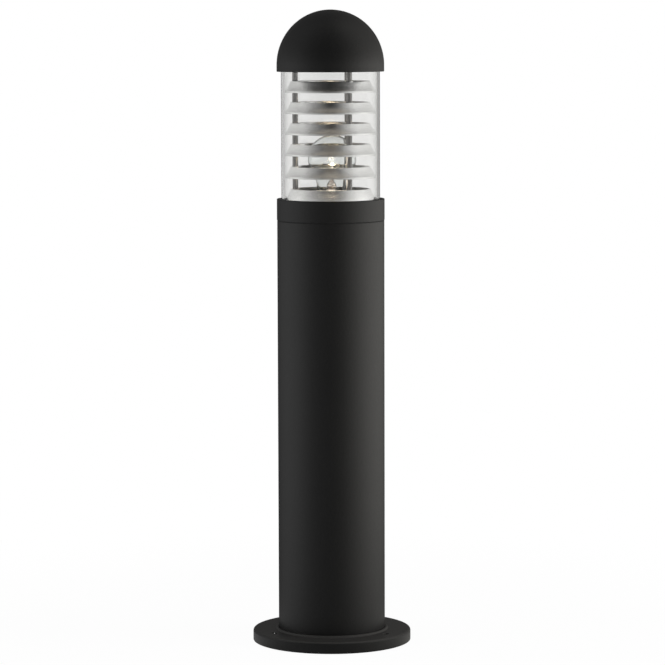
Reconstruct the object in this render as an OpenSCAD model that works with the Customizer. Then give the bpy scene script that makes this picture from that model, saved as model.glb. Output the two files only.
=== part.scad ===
// Garden post light: a black round post with a clear louvred head under a domed cap.
// Millimetres, +Z up, origin at the centre of the base's underside.

/* [Post] */
// Height from the ground to the top of the cap
overall_h = 710; // [600:1:950]
// Outside diameter of the post tube and of the cap
tube_d = 120; // [116:0.5:126]
// Wall of the post tube
tube_wall = 3; // [2.5:0.1:3.5]
// Diameter of the screw ports inside the tube
port_d = 9; // [8:0.1:10]
// Depth by which a screw port stands into the tube wall
port_sink = 0.5; // [0.3:0.1:1]

/* [Base] */
// Diameter of the base flange
base_d = 178; // [170:1:200]
// Thickness of the base flange
base_t = 13; // [11:0.5:16]
// Radius of the flange's upper edge
base_edge_r = 2.6; // [1:0.1:4]
// Radius of the flange's lower edge
base_foot_r = 1; // [0.5:0.1:2]
// Height of the rim round the foot of the tube
rim_h = 2.1; // [1:0.1:4]
// Width of the rim round the foot of the tube
rim_w = 2.4; // [1.5:0.1:4]
// Height of the spigot inside the tube
spigot_h = 25; // [15:1:40]
// Wall of the spigot
spigot_wall = 4; // [3:0.1:5]
// Circle of the ground fixing holes
fixing_pcd = 144; // [138:0.5:150]
// Diameter of the ground fixing holes
fixing_d = 6; // [5:0.1:8]
// Turn of the post about its own axis
post_turn = -2.7; // [-10:0.1:10]
// Diameter of the cable hole in the flange
cable_hole_d = 22; // [20:0.5:26]
// Diameter of the hole through the grommet
grommet_bore = 12; // [10:0.5:14]
// Depth of the cored pockets under the flange
pocket_depth = 6; // [4:0.5:8]
// Width of the ribs between the pockets
rib_w = 6; // [4:0.5:10]

/* [Collar] */
// Height of the collar
collar_h = 23.7; // [21:0.1:28]
// Amount by which the collar stands proud of the tube
collar_proud = 0.3; // [0:0.1:1]
// Wall of the collar's skirt
collar_wall = 1.9; // [1.6:0.1:2.2]
// Width of the collar's lip outside the diffuser
collar_lip = 4.7; // [4:0.1:5.5]
// Depth of the diffuser's seat below the collar's top
seat_depth = 4.5; // [3:0.1:5.5]
// Thickness of the collar's inner flange
flange_t = 4; // [3:0.1:5]
// Width of the flange between the tie rods' axes and the opening for the lamp
rod_land = 6; // [5:0.1:7]
// Thickness of the gasket between tube and collar
gasket_t = 0.8; // [0.5:0.1:1.5]
// Width of that gasket
gasket_w = 1.3; // [0.8:0.1:1.4]
// Thickness of the head plate
plate_t = 4; // [3:0.1:5]
// Gap between the tie rods' nuts and the threaded upstand on the head plate
nut_gap = 1; // [0.8:0.1:1.6]
// Wall of the upstand
upstand_wall = 2.3; // [1.5:0.1:2.4]
// Wall of the collar's threaded sleeve
sleeve_wall = 2.6; // [2:0.1:3]

/* [Cap and diffuser] */
// Height of the cap
cap_h = 68.8; // [60:0.1:80]
// Straight height at the cap's lower edge
cap_skirt = 7.3; // [6:0.1:10]
// Wall of the cap
cap_wall = 3; // [2.5:0.1:3.4]
// Height of glass that shows between collar and cap
light_h = 141.7; // [139:0.1:150]
// Wall of the diffuser
diffuser_wall = 3; // [2:0.1:3.4]
// Gap between the diffuser and the collar's lip
diffuser_gap = 0.4; // [0.3:0.1:0.8]
// Height of the cap's inner shoulder above its edge
cap_seat = 7; // [5:0.1:12]
// Thickness of the shoulder
shoulder_t = 3; // [2:0.1:5]
// Thickness of the flat seals at the diffuser's ends
seal_t = 1; // [0.6:0.1:2]
// Height of the cap's bosses above its edge
boss_rise = 20; // [17:0.5:28]
// Diameter of the cap's bosses
boss_d = 10; // [9:0.1:12]

/* [Louvres] */
// Gap between the louvres and the diffuser
louvre_gap = 1.4; // [0.8:0.1:2.5]
// Width by which a louvre flares from top to bottom
louvre_flare = 6.5; // [5:0.1:7.5]
// Height of a louvre's cone
louvre_h = 11.2; // [9:0.1:13]
// Height of the upright lip under the cone
louvre_lip = 1.4; // [0.8:0.1:2.5]
// Thickness of the louvre sheet
louvre_t = 1.3; // [1:0.1:1.8]
// Distance from the cap's edge to the first louvre
first_drop = 10.4; // [8:0.1:12]
// Spacing of the upper louvres
upper_pitch = 23.4; // [22.5:0.1:24]
// Spacing of the two lowest louvres
lower_pitch = 24.9; // [24:0.1:26]
// Width by which the lowest louvre bulges
skirt_flare = 4.6; // [3:0.1:5.5]
// Radius of the round end of a lug
lug_r = 5.2; // [4.6:0.1:6]
// Gap between a tie rod's sleeve and the louvre's rim
rod_gap = 1.6; // [1.2:0.1:2]
// Diameter of the spacer sleeves
sleeve_d = 6.4; // [5.5:0.1:7]
// Diameter of the tie rods
rod_d = 4; // [3:0.1:4.2]
// Turn of the head about its own axis
head_turn = 1; // [-10:0.1:10]

/* [Lamp] */
// Overall length of the lamp
lamp_len = 103; // [96:0.5:110]
// Radius of the bulb
bulb_r = 27; // [25:0.1:29]
// Radius of the neck where it leaves the cap
neck_r = 13; // [12.7:0.1:13.2]
// Widening of the neck per millimetre of height
neck_taper = 0.2; // [0.15:0.01:0.24]
// Radius of the fillet between neck and bulb
neck_fillet = 14; // [10:0.5:18]
// Thickness of the bulb's glass
glass_t = 0.7; // [0.5:0.1:1]
// Radius of the lamp's screw cap
cap_shell_r = 13.1; // [12.9:0.1:13.3]
// Height of the lamp's screw cap with its insulator
cap_shell_h = 29; // [27:0.5:31]
// Depth of the lamp's contact below the top of the tube
lamp_sink = 7; // [5:0.5:9]
// Lean of the lamp in its holder
lamp_lean = 1.2; // [0:0.1:1.3]
// Radius of the filament's arc
filament_r = 11; // [8:0.5:13]

/* [Lampholder] */
// Radius of the lampholder
holder_r = 20; // [19:0.1:21]
// Height of the lampholder
holder_h = 46.5; // [43:0.5:50]
// Depth of the lampholder below the lamp's contact
holder_base = 14.5; // [13:0.5:17]
// Radius inside the holder's screw shell
shell_r = 14; // [13.9:0.1:14.2]
// Thickness of the bracket's sheet
bracket_t = 1.5; // [1:0.1:2]
// Width of the bracket
bracket_w = 36; // [32:1:40]
// Gap between the lampholder and the bracket's legs
bracket_gap = 2; // [1.5:0.1:3]
// Length of the bracket's foot beyond its leg
bracket_foot = 18; // [15:0.5:20]
// Length of the long leg below the bracket's web
leg_drop = 60; // [56:1:80]
// Width of the terminal block
block_w = 30; // [28:0.5:34]
// Height of the terminal block
block_h = 22; // [18:0.5:26]
// Depth of the terminal block
block_depth = 15; // [13:0.5:17]
// Distance from the web to the terminal block
block_drop = 18; // [16:0.5:20]
// Radius of the supply cable that the clamp takes
clamp_r = 5.2; // [4:0.1:6]

/* [Screws] */
// Diameter of the screws in the tube's ports
screw_d = 5; // [4:0.1:5.2]
// Length of these screws inside the ports
screw_bite = 15; // [10:0.5:18]
// Diameter of the bracket's screws
small_screw_d = 4; // [3:0.1:4.5]
// Clearance round a screw in its hole
screw_gap = 0.1; // [0.05:0.05:0.3]
// Clearance between turned or cast faces that fit together
fit_gap = 0.3; // [0.2:0.05:0.4]

/* [Hidden] */
$fn = 96;

black = [0.1, 0.1, 0.1];
satin = [0.75, 0.75, 0.74];
zinc = [0.6, 0.61, 0.62];
brass = [0.75, 0.62, 0.33];
clear = [0.85, 0.88, 0.9, 0.35];

// Levels of the stack, from the ground up
tube_top = overall_h - cap_h - light_h - collar_h - gasket_t;
collar_z = tube_top + gasket_t;
collar_top = collar_z + collar_h;
seat_z = collar_top - seat_depth;
cap_z = collar_top + light_h;
cap_seat_z = cap_z + cap_seat;
boss_z = cap_z + boss_rise;

// Radii, from the tube inwards
tube_r = tube_d / 2;
tube_bore_r = tube_r - tube_wall;
port_r = tube_bore_r - port_d / 2 + port_sink;
collar_r = tube_r + collar_proud;
skirt_bore_r = collar_r - collar_wall;
plate_r = skirt_bore_r - fit_gap;
diffuser_r = collar_r - collar_lip - diffuser_gap;
diffuser_bore_r = diffuser_r - diffuser_wall;
louvre_r = diffuser_bore_r - louvre_gap;
louvre_top_r = louvre_r - louvre_flare;
rod_r = louvre_top_r - rod_gap - sleeve_d / 2;
lamp_way_r = rod_r - rod_land;
nut_r = rod_d * 0.975;
upstand_r = rod_r + nut_r + nut_gap + upstand_wall;
sleeve_bore_r = upstand_r + fit_gap;

// Louvre tops, counted from the cap down
louvre_count = 6;
upper_count = 4;
function louvre_top(i) = cap_z - first_drop
    - upper_pitch * min(i, upper_count - 1)
    - lower_pitch * max(i - (upper_count - 1), 0);

lamp_z = tube_top - lamp_sink;
holder_z = lamp_z - holder_base;
web_z = holder_z - bracket_t;
leg_x = holder_r + bracket_gap;
block_top = web_z - block_drop;

screw_r = screw_d / 2;
screw_head_r = screw_r * 1.8;
screw_head_h = screw_r * 1.3;
small_r = small_screw_d / 2;
small_head_r = small_r * 1.9;
small_head_h = small_r * 1.3;

// Rings, places and curves that repeat

module ring(r_out, r_in, h) {
    difference() {
        cylinder(r = r_out, h = h);
        translate([0, 0, -1]) cylinder(r = r_in, h = h + 2);
    }
}

module at_ports() {
    for (i = [0:2]) rotate(post_turn + 30 + 120 * i) translate([port_r, 0, 0]) children();
}

module at_fixings() {
    for (i = [0:2]) rotate(post_turn + 90 + 120 * i) translate([fixing_pcd / 2, 0, 0]) children();
}

module at_rods() {
    for (i = [0:2]) rotate(head_turn + 60 + 120 * i) translate([rod_r, 0, 0]) children();
}

function reversed(list) = [for (i = [len(list) - 1:-1:0]) list[i]];

// Points of an arc about c, from one angle to another
function arc(c, r, a0, a1, n) =
    [for (i = [0:n]) let (a = a0 + (a1 - a0) * i / n) [c[0] + r * cos(a), c[1] + r * sin(a)]];

// Quarter of an ellipse from the radius a at height z up to the axis
function quarter(a, b, z, n) = [for (i = [0:n]) let (t = 90 * i / n) [a * cos(t), z + b * sin(t)]];

// Pan-head screw, head up, with the underside of its head at z = 0
module pan_screw(r, length, head_r, head_h) {
    recess_w = head_r * 0.28;
    difference() {
        union() {
            translate([0, 0, -length]) cylinder(r = r, h = length + 0.5);
            rotate_extrude() polygon(concat(
                [[0, 0], [head_r, 0], [head_r, head_h * 0.45]],
                arc([head_r - head_h * 0.55, head_h * 0.45], head_h * 0.55, 30, 90, 4),
                [[0, head_h]]));
        }
        for (a = [0, 90]) rotate(a)
            translate([-head_r * 0.6, -recess_w / 2, head_h * 0.4])
                cube([head_r * 1.2, recess_w, head_h]);
    }
}

// Round wire swept along a route: a ring of points at right angles to it at each of its points
wire_sides = 8;
function unit(v) = v / norm(v);
function tangent(p, i) = unit(p[min(i + 1, len(p) - 1)] - p[max(i - 1, 0)]);
function ring_at(p, i, r, side) =
    let (t = tangent(p, i), u = unit(cross(t, side)), w = cross(t, u))
    [for (k = [0:wire_sides - 1])
        let (a = 360 * k / wire_sides) p[i] + r * (cos(a) * u + sin(a) * w)];

// A smooth curve through the points of a route
function spline_at(p, i, t) =
    let (a = p[max(i - 1, 0)], b = p[i], c = p[i + 1], d = p[min(i + 2, len(p) - 1)])
    0.5 * (2 * b + (c - a) * t + (2 * a - 5 * b + 4 * c - d) * t * t
        + (3 * b - a - 3 * c + d) * t * t * t);
function smooth(p, steps) = concat(
    [for (i = [0:len(p) - 2]) for (k = [0:steps - 1]) spline_at(p, i, k / steps)],
    [p[len(p) - 1]]);

// side is a direction that the route never runs along
module wire(p, r, side) {
    n = len(p);
    s = wire_sides;
    polyhedron(
        points = [for (i = [0:n - 1]) each ring_at(p, i, r, side)],
        faces = concat(
            [[for (k = [0:s - 1]) k]],
            [for (i = [0:n - 2]) for (k = [0:s - 1])
                [i * s + k, (i + 1) * s + k, (i + 1) * s + (k + 1) % s, i * s + (k + 1) % s]],
            [[for (k = [s - 1:-1:0]) (n - 1) * s + k]]));
}

lead_r = 1.1;
module lead(route) { wire(smooth(route, 3), lead_r, [0, 1, 0]); }

// Base: cast flange with a rim and a spigot for the tube

counterbore_depth = 6;
counterbore_r = screw_head_r + 0.5;
grommet_lip = 3;
grommet_lip_t = 2;
grommet_recess_r = cable_hole_d / 2 + grommet_lip + fit_gap;
pocket_in_r = grommet_recess_r + 4;
pocket_out_r = port_r - counterbore_r - 3;

module base_flange() {
    r = base_d / 2;
    rim_bore_r = tube_r + fit_gap;
    color(black) difference() {
        union() {
            rotate_extrude() polygon(concat(
                [[0, 0]],
                arc([r - base_foot_r, base_foot_r], base_foot_r, -90, 0, 4),
                arc([r - base_edge_r, base_t - base_edge_r], base_edge_r, 0, 90, 8),
                [[rim_bore_r + rim_w + 0.6, base_t], [rim_bore_r + rim_w, base_t + 0.6],
                 [rim_bore_r + rim_w - 0.5, base_t + rim_h], [rim_bore_r, base_t + rim_h],
                 [rim_bore_r, base_t], [0, base_t]]));
            spigot();
        }
        at_fixings() translate([0, 0, -1]) cylinder(d = fixing_d, h = base_t + 2);
        at_ports() {
            translate([0, 0, -1]) cylinder(r = screw_r + screw_gap, h = base_t + 2);
            translate([0, 0, -1]) cylinder(r = counterbore_r, h = counterbore_depth + 1);
        }
        translate([0, 0, -1]) cylinder(d = cable_hole_d, h = base_t + 2);
        translate([0, 0, -1]) cylinder(r = grommet_recess_r, h = grommet_lip_t + 2);
        pockets();
    }
}

module spigot() {
    spigot_r = tube_bore_r - fit_gap;
    difference() {
        translate([0, 0, base_t - 1]) ring(spigot_r, spigot_r - spigot_wall, spigot_h + 1);
        at_ports() translate([0, 0, base_t - 2]) cylinder(d = port_d + 2 * fit_gap, h = spigot_h + 3);
    }
}

module pockets() {
    difference() {
        translate([0, 0, -1]) ring(pocket_out_r, pocket_in_r, pocket_depth + 1);
        for (i = [0:2]) rotate(post_turn + 30 + 120 * i)
            translate([0, -rib_w / 2, -2]) cube([base_d, rib_w, pocket_depth + 3]);
    }
}

module cable_grommet() {
    hole_r = cable_hole_d / 2;
    lip_z = 1;
    color([0.06, 0.06, 0.06]) rotate_extrude() polygon([
        [grommet_bore / 2, lip_z], [hole_r + grommet_lip, lip_z],
        [hole_r + grommet_lip, lip_z + grommet_lip_t - 0.1],
        [hole_r - screw_gap, lip_z + grommet_lip_t - 0.1],
        [hole_r - screw_gap, base_t], [hole_r + grommet_lip, base_t],
        [hole_r + grommet_lip - 0.8, base_t + grommet_lip_t],
        [grommet_bore / 2, base_t + grommet_lip_t]]);
}

module base_screws() {
    color(zinc) at_ports() translate([0, 0, counterbore_depth]) mirror([0, 0, 1])
        pan_screw(screw_r, base_t - counterbore_depth + screw_bite, screw_head_r, screw_head_h);
}

// Post: extruded tube with three screw ports

module post_tube() {
    color(black) translate([0, 0, base_t]) linear_extrude(tube_top - base_t) difference() {
        union() {
            difference() {
                circle(r = tube_r);
                circle(r = tube_bore_r);
            }
            at_ports() {
                circle(d = port_d);
                translate([0, -port_d * 0.3]) square([tube_r - port_r - tube_wall / 2, port_d * 0.6]);
            }
        }
        at_ports() circle(r = screw_r + screw_gap);
    }
}

// Head: plate, collar, seals, diffuser and cap

plate_hole_r = leg_x + bracket_t + 0.5;
upstand_top = seat_z - flange_t - 1;

module head_plate() {
    color(zinc) difference() {
        union() {
            translate([0, 0, tube_top]) cylinder(r = plate_r, h = plate_t);
            translate([0, 0, tube_top])
                ring(upstand_r, upstand_r - upstand_wall, upstand_top - tube_top);
        }
        translate([0, 0, tube_top - 1]) cylinder(r = plate_hole_r, h = plate_t + 2);
        at_ports() translate([0, 0, tube_top - 1])
            cylinder(r = screw_r + screw_gap, h = plate_t + 2);
        for (s = [-1, 1]) translate([s * foot_screw_x, 0, tube_top - 1])
            cylinder(r = small_r + screw_gap, h = plate_t + 2);
    }
}

module head_plate_screws() {
    color(zinc) at_ports() translate([0, 0, tube_top + plate_t])
        pan_screw(screw_r, plate_t + screw_bite, screw_head_r, screw_head_h);
}

module collar_gasket() {
    color([0.05, 0.05, 0.05]) translate([0, 0, tube_top])
        ring(tube_r - fit_gap, tube_r - fit_gap - gasket_w, gasket_t);
}

module collar() {
    sleeve_z = tube_top + plate_t + screw_head_h + fit_gap;
    lip_bore_r = diffuser_r + diffuser_gap;
    flange_z = seat_z - flange_t;
    color(black) difference() {
        union() {
            rotate_extrude() polygon([
                [skirt_bore_r, collar_z], [collar_r - 0.4, collar_z], [collar_r, collar_z + 0.4],
                [collar_r, collar_top - 0.5], [collar_r - 0.5, collar_top],
                [lip_bore_r + 0.3, collar_top], [lip_bore_r, collar_top - 0.3],
                [lip_bore_r, seat_z], [lamp_way_r, seat_z], [lamp_way_r, flange_z],
                [skirt_bore_r, flange_z]]);
            translate([0, 0, sleeve_z])
                ring(sleeve_bore_r + sleeve_wall, sleeve_bore_r, flange_z - sleeve_z + 1);
        }
        at_rods() translate([0, 0, flange_z - 1])
            cylinder(r = rod_d / 2 + screw_gap, h = flange_t + 2);
    }
}

module seal(z) {
    color([0.05, 0.05, 0.05]) translate([0, 0, z]) ring(diffuser_r, diffuser_bore_r, seal_t);
}

module lower_seal() { seal(seat_z); }
module upper_seal() { seal(cap_seat_z - seal_t); }

module diffuser() {
    z0 = seat_z + seal_t;
    z1 = cap_seat_z - seal_t;
    bevel = 0.3;
    color(clear) rotate_extrude() polygon([
        [diffuser_bore_r, z0], [diffuser_r - bevel, z0], [diffuser_r, z0 + bevel],
        [diffuser_r, z1 - bevel], [diffuser_r - bevel, z1], [diffuser_bore_r, z1]]);
}

// Solid of the cap's dome, set in from its outer face
module dome_body(inset, n) {
    spring_z = cap_z + cap_skirt;
    dome_h = cap_h - cap_skirt;
    rotate_extrude() polygon(concat(
        [[0, cap_z - inset], [tube_r - inset, cap_z - inset]],
        quarter(tube_r - inset, dome_h - inset, spring_z, n)));
}

module dome_cap() {
    color(black) difference() {
        union() {
            difference() {
                dome_body(0, 40);
                dome_body(cap_wall, 40);
            }
            translate([0, 0, cap_seat_z])
                ring(tube_r - cap_wall / 2, diffuser_bore_r - 0.5, shoulder_t);
            intersection() {
                at_rods() translate([0, 0, boss_z]) cylinder(d = boss_d, h = cap_h);
                dome_body(cap_wall / 2, 40);
            }
        }
        at_rods() translate([0, 0, boss_z - 1])
            cylinder(r = rod_d / 2 + screw_gap, h = rod_end_z - boss_z + 2);
    }
}

// Louvres: pressed rings with three lugs that the tie rods pass through

module lugs(i) {
    reach = louvre_top_r - louvre_t / 2 - rod_r + 0.2;
    translate([0, 0, louvre_top(i) - louvre_t]) linear_extrude(louvre_t) difference() {
        at_rods() {
            circle(r = lug_r);
            translate([0, -lug_r]) square([reach, 2 * lug_r]);
        }
        at_rods() circle(r = rod_d / 2 + screw_gap);
    }
}

module louvre(i) {
    z1 = louvre_top(i);
    z0 = z1 - louvre_h;
    color(satin) union() {
        rotate_extrude() polygon([
            [louvre_top_r - louvre_t, z1], [louvre_top_r, z1], [louvre_r, z0],
            [louvre_r, z0 - louvre_lip], [louvre_r - louvre_t, z0 - louvre_lip],
            [louvre_r - louvre_t, z0]]);
        lugs(i);
    }
}

// The lowest louvre stands on the collar and has a bulged flank
module skirt_louvre(i) {
    z1 = louvre_top(i);
    h = z1 - seat_z;
    n = 10;
    flank = [for (k = [0:n]) let (u = k / n) [louvre_top_r + skirt_flare * sin(90 * u), z1 - h * u]];
    color(satin) union() {
        rotate_extrude() polygon(concat(
            flank, [for (p = reversed(flank)) [p[0] - louvre_t, p[1]]]));
        lugs(i);
    }
}

module sleeves(i) {
    z1 = i == 0 ? boss_z : louvre_top(i - 1) - louvre_t;
    z0 = i == louvre_count ? seat_z : louvre_top(i);
    color([0.35, 0.35, 0.35]) at_rods() translate([0, 0, z0])
        ring(sleeve_d / 2, rod_d / 2 + screw_gap, z1 - z0);
}

washer_t = 0.8;
nut_h = rod_d * 0.8;
rod_end_z = boss_z + 16;
nut_z = seat_z - flange_t - washer_t - nut_h;

module tie_rods() {
    color(zinc) at_rods() translate([0, 0, nut_z - 2])
        cylinder(d = rod_d, h = rod_end_z - nut_z + 2);
}

module rod_washers() {
    color(zinc) at_rods() translate([0, 0, seat_z - flange_t - washer_t])
        ring(nut_r, rod_d / 2 + screw_gap, washer_t);
}

module rod_nuts() {
    color(zinc) at_rods() translate([0, 0, nut_z]) difference() {
        cylinder(r = nut_r, h = nut_h, $fn = 6);
        translate([0, 0, -1]) cylinder(r = rod_d / 2 + screw_gap, h = nut_h + 2);
    }
}

// Bracket under the head plate that carries the lampholder and the terminals

foot_screw_x = leg_x + bracket_t + bracket_foot / 2 + 1;
holder_screw_x = 13;
wire_y = 5.5;
clamp_w = 8;
clamp_z = web_z - leg_drop + clamp_w / 2 + 2;
clamp_screw_y = clamp_r + 1.5 + small_head_r;

module gear_bracket() {
    x = leg_x + bracket_t;
    w = bracket_w;
    t = bracket_t;
    color(zinc) difference() {
        translate([0, w / 2, 0]) rotate([90, 0, 0]) linear_extrude(w) polygon([
            [-x - bracket_foot, tube_top - t], [-x, tube_top - t], [-x, web_z - leg_drop],
            [-leg_x, web_z - leg_drop], [-leg_x, web_z], [x, web_z], [x, tube_top - t],
            [x + bracket_foot, tube_top - t], [x + bracket_foot, tube_top], [leg_x, tube_top],
            [leg_x, web_z + t], [-leg_x, web_z + t], [-leg_x, tube_top],
            [-x - bracket_foot, tube_top]]);
        for (s = [-1, 1]) {
            translate([s * foot_screw_x, 0, tube_top - t - 1]) cylinder(r = small_r + screw_gap, h = t + 2);
            translate([s * holder_screw_x, 0, web_z - 1]) cylinder(r = 1.5 + screw_gap, h = t + 2);
            translate([0, s * wire_y, web_z - 1]) cylinder(r = 2.2, h = t + 2);
            translate([-x - 1, s * clamp_screw_y, clamp_z]) rotate([0, 90, 0])
                cylinder(r = small_r + screw_gap, h = t + 2);
        }
        translate([-x - 1, 0, block_top - block_h / 2]) rotate([0, 90, 0])
            cylinder(r = 1.5 + screw_gap, h = t + 2);
        translate([leg_x - 1, 0, earth_z]) rotate([0, 90, 0])
            cylinder(r = small_r + screw_gap, h = t + 2);
    }
}

module bracket_screws() {
    color(zinc) for (s = [-1, 1]) translate([s * foot_screw_x, 0, tube_top + plate_t])
        pan_screw(small_r, plate_t + bracket_t + 2, small_head_r, small_head_h);
}

shell_t = 0.4;
shell_z = lamp_z - 4;
cavity_z = lamp_z - 5;
cavity_r = shell_r + shell_t + 0.6;

module lampholder_body() {
    color([0.93, 0.92, 0.88]) difference() {
        translate([0, 0, holder_z]) rotate_extrude() polygon([
            [0, 0], [holder_r - 1, 0], [holder_r, 1], [holder_r, holder_h * 0.45],
            [holder_r - 1.5, holder_h * 0.5], [holder_r - 1.5, holder_h - 1.5],
            [holder_r - 3, holder_h], [0, holder_h]]);
        translate([0, 0, cavity_z]) cylinder(r = cavity_r, h = holder_h);
        for (s = [-1, 1]) {
            translate([s * holder_screw_x, 0, holder_z - 1]) cylinder(r = 1.5 + screw_gap, h = 8);
            translate([0, s * wire_y, holder_z - 1]) cylinder(r = 1.5, h = 6);
        }
    }
}

module lampholder_shell() {
    h = 27;
    color(brass) translate([0, 0, cavity_z]) rotate_extrude() polygon([
        [shell_r - 3, 0], [shell_r + shell_t, 0], [shell_r + shell_t, h], [shell_r, h],
        [shell_r, shell_t], [shell_r - 3, shell_t]]);
}

// Spring strip that rises to the lamp's contact
module lampholder_contact() {
    t = 0.5;
    rise = lamp_z - cavity_z - 0.05;
    color(brass) translate([0, 2.5, cavity_z]) rotate([90, 0, 0]) linear_extrude(5) polygon([
        [-9, 0], [5, 0], [5, t], [-7.5, t], [-3, rise - t], [2, rise - t], [3, rise - t - 1],
        [3.4, rise - t - 0.6], [2.3, rise], [-3.3, rise], [-9, t]]);
}

module lampholder_screws() {
    color(zinc) for (s = [-1, 1]) translate([s * holder_screw_x, 0, web_z]) mirror([0, 0, 1])
        pan_screw(1.5, bracket_t + 6, 2.8, 2);
}

// Lamp: clear bulb on a screw cap. Its own heights count from the contact up.

module on_lamp_axis() {
    translate([0, 0, lamp_z]) rotate([0, lamp_lean, 0]) children();
}

contact_h = 2;
insulator_h = 4;
cement_depth = 5;

// Half section of the bulb, set in by w from the outer face of the glass
function bulb_half(w) =
    let (
        d = unit([neck_taper, 1]),
        n = [d[1], -d[0]],
        p0 = [neck_r, cap_shell_h] - w * n,
        s0 = [0, lamp_len - bulb_r],
        c0 = [neck_r, cap_shell_h] + neck_fillet * n - s0,
        b = c0 * d,
        reach = bulb_r + neck_fillet,
        s = -b - sqrt(b * b - c0 * c0 + reach * reach),
        c = c0 + s0 + s * d,
        to_bulb = atan2(c[1] - s0[1], c[0] - s0[0]),
        start = atan2(-n[1], -n[0])
    )
    concat(
        [p0],
        arc(c, neck_fillet + w, start, 180 + to_bulb, 8),
        [for (p = arc(s0, bulb_r - w, to_bulb, 90, 28)) [max(p[0], 0), p[1]]]);

module lamp_glass() {
    foot_z = cap_shell_h - cement_depth;
    foot_r = cap_shell_r - 0.8;
    color(clear) on_lamp_axis() rotate_extrude() polygon(concat(
        [[foot_r, foot_z], [foot_r, cap_shell_h - 1]],
        bulb_half(0),
        reversed(bulb_half(glass_t)),
        [[foot_r - glass_t, cap_shell_h - 1], [foot_r - glass_t, foot_z]]));
}

stem_r = 5.5;
pinch_t = 3.6;
pinch_z = cap_shell_h + 16;
pinch_h = 9;
arbor_top = pinch_z + pinch_h + 13;
filament_z = arbor_top + 3;

module lamp_stem() {
    foot_z = cap_shell_h - cement_depth;
    neck_bore = cap_shell_r - 0.8 - glass_t;
    color(clear) on_lamp_axis() union() {
        rotate_extrude() polygon([
            [stem_r - 1, foot_z + 5], [neck_bore - 0.6, foot_z], [neck_bore - 0.1, foot_z],
            [neck_bore - 0.1, foot_z + 0.8], [stem_r, foot_z + 6], [stem_r, pinch_z],
            [stem_r - 1, pinch_z]]);
        translate([-pinch_t / 2, -stem_r, pinch_z - 1]) cube([pinch_t, 2 * stem_r, pinch_h + 1]);
        translate([0, 0, pinch_z + pinch_h - 1]) cylinder(r = 1.3, h = arbor_top - pinch_z - pinch_h + 1);
        translate([0, 0, arbor_top - 0.5]) sphere(r = 2.1);
    }
}

filament_gap_angle = 70;

// Two lead wires from the pinch to the filament's ends, and three hooks from the arbor
module lamp_wires() {
    end_a = filament_gap_angle / 2;
    foot_z = pinch_z + pinch_h + 0.2;
    hook_r = filament_r - 0.7;
    color([0.5, 0.5, 0.48]) on_lamp_axis() {
        for (s = [-1, 1])
            wire(smooth([
                [0, s * 3.4, foot_z], [0.5, s * 3.8, foot_z + 3], [3, s * 4.6, foot_z + 8],
                [filament_r * cos(end_a), s * filament_r * sin(end_a), filament_z]], 2),
                0.28, [1, 0, 0.1]);
        for (a = [120, 180, 240])
            wire([[2.4 * cos(a), 2.4 * sin(a), arbor_top],
                  [hook_r * cos(a), hook_r * sin(a), filament_z]], 0.18, [0, 0, 1]);
    }
}

module lamp_filament() {
    color([1, 0.85, 0.6]) on_lamp_axis() translate([0, 0, filament_z])
        rotate(filament_gap_angle / 2 + 3)
            rotate_extrude(angle = 360 - filament_gap_angle - 6)
                translate([filament_r, 0]) circle(r = 0.35, $fn = 16);
}

module lamp_shell() {
    z0 = contact_h + insulator_h;
    color(satin) on_lamp_axis() rotate_extrude() polygon([
        [cap_shell_r - 2.5, z0], [cap_shell_r - 0.4, z0 + 0.8], [cap_shell_r, z0 + 2],
        [cap_shell_r, cap_shell_h - 2.5], [cap_shell_r + 0.3, cap_shell_h - 1.2],
        [cap_shell_r + 0.3, cap_shell_h - 0.3], [cap_shell_r - 0.3, cap_shell_h - 0.3],
        [cap_shell_r - 0.4, cap_shell_h - 2], [cap_shell_r - 0.4, z0 + 2.4],
        [cap_shell_r - 2.9, z0 + 0.5]]);
}

module lamp_insulator() {
    color([0.1, 0.09, 0.1]) on_lamp_axis() rotate_extrude() polygon([
        [0, contact_h], [5, contact_h], [cap_shell_r - 2.9, contact_h + insulator_h - 0.2],
        [cap_shell_r - 3, contact_h + insulator_h + 0.4], [0, contact_h + insulator_h + 0.4]]);
}

module lamp_contact() {
    color([0.7, 0.7, 0.68]) on_lamp_axis() rotate_extrude() polygon([
        [0, 0], [2.5, 0.2], [4.2, 0.9], [4.8, contact_h], [0, contact_h]]);
}

// Terminals, leads and clamp on the bracket's long leg

pole_y = 9.5;
channel_x = -leg_x + block_depth / 2;

module terminal_block() {
    color([0.9, 0.9, 0.88]) difference() {
        union() {
            translate([-leg_x, -block_w / 2, block_top - block_h])
                cube([block_depth - 3, block_w, block_h]);
            for (i = [-1:1])
                translate([-leg_x, i * pole_y - 3.6, block_top - block_h + 2])
                    cube([block_depth, 7.2, block_h - 4]);
        }
        for (i = [-1:1]) {
            translate([channel_x, i * pole_y, block_top - block_h - 1]) cylinder(r = 1.9, h = block_h + 2);
            for (z = [0.28, 0.72])
                translate([channel_x + 1, i * pole_y, block_top - block_h * z]) rotate([0, 90, 0])
                    cylinder(r = 2.2, h = block_depth);
        }
        translate([-leg_x - 1, 0, block_top - block_h / 2]) rotate([0, 90, 0])
            cylinder(r = 1.5 + screw_gap, h = 4.5);
    }
}

module terminal_screws() {
    color(brass) for (i = [-1:1]) for (z = [0.28, 0.72])
        translate([channel_x + 2, i * pole_y, block_top - block_h * z]) rotate([0, 90, 0])
            difference() {
                cylinder(r = 2.1, h = 4.5);
                translate([-3, -0.4, 3.7]) cube([6, 0.8, 2]);
            }
}

module block_screw() {
    color(zinc) translate([-leg_x - bracket_t, 0, block_top - block_h / 2]) rotate([0, -90, 0])
        pan_screw(1.5, bracket_t + 3, 2.8, 2);
}

earth_z = web_z + 12;
tag_t = 0.8;

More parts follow.
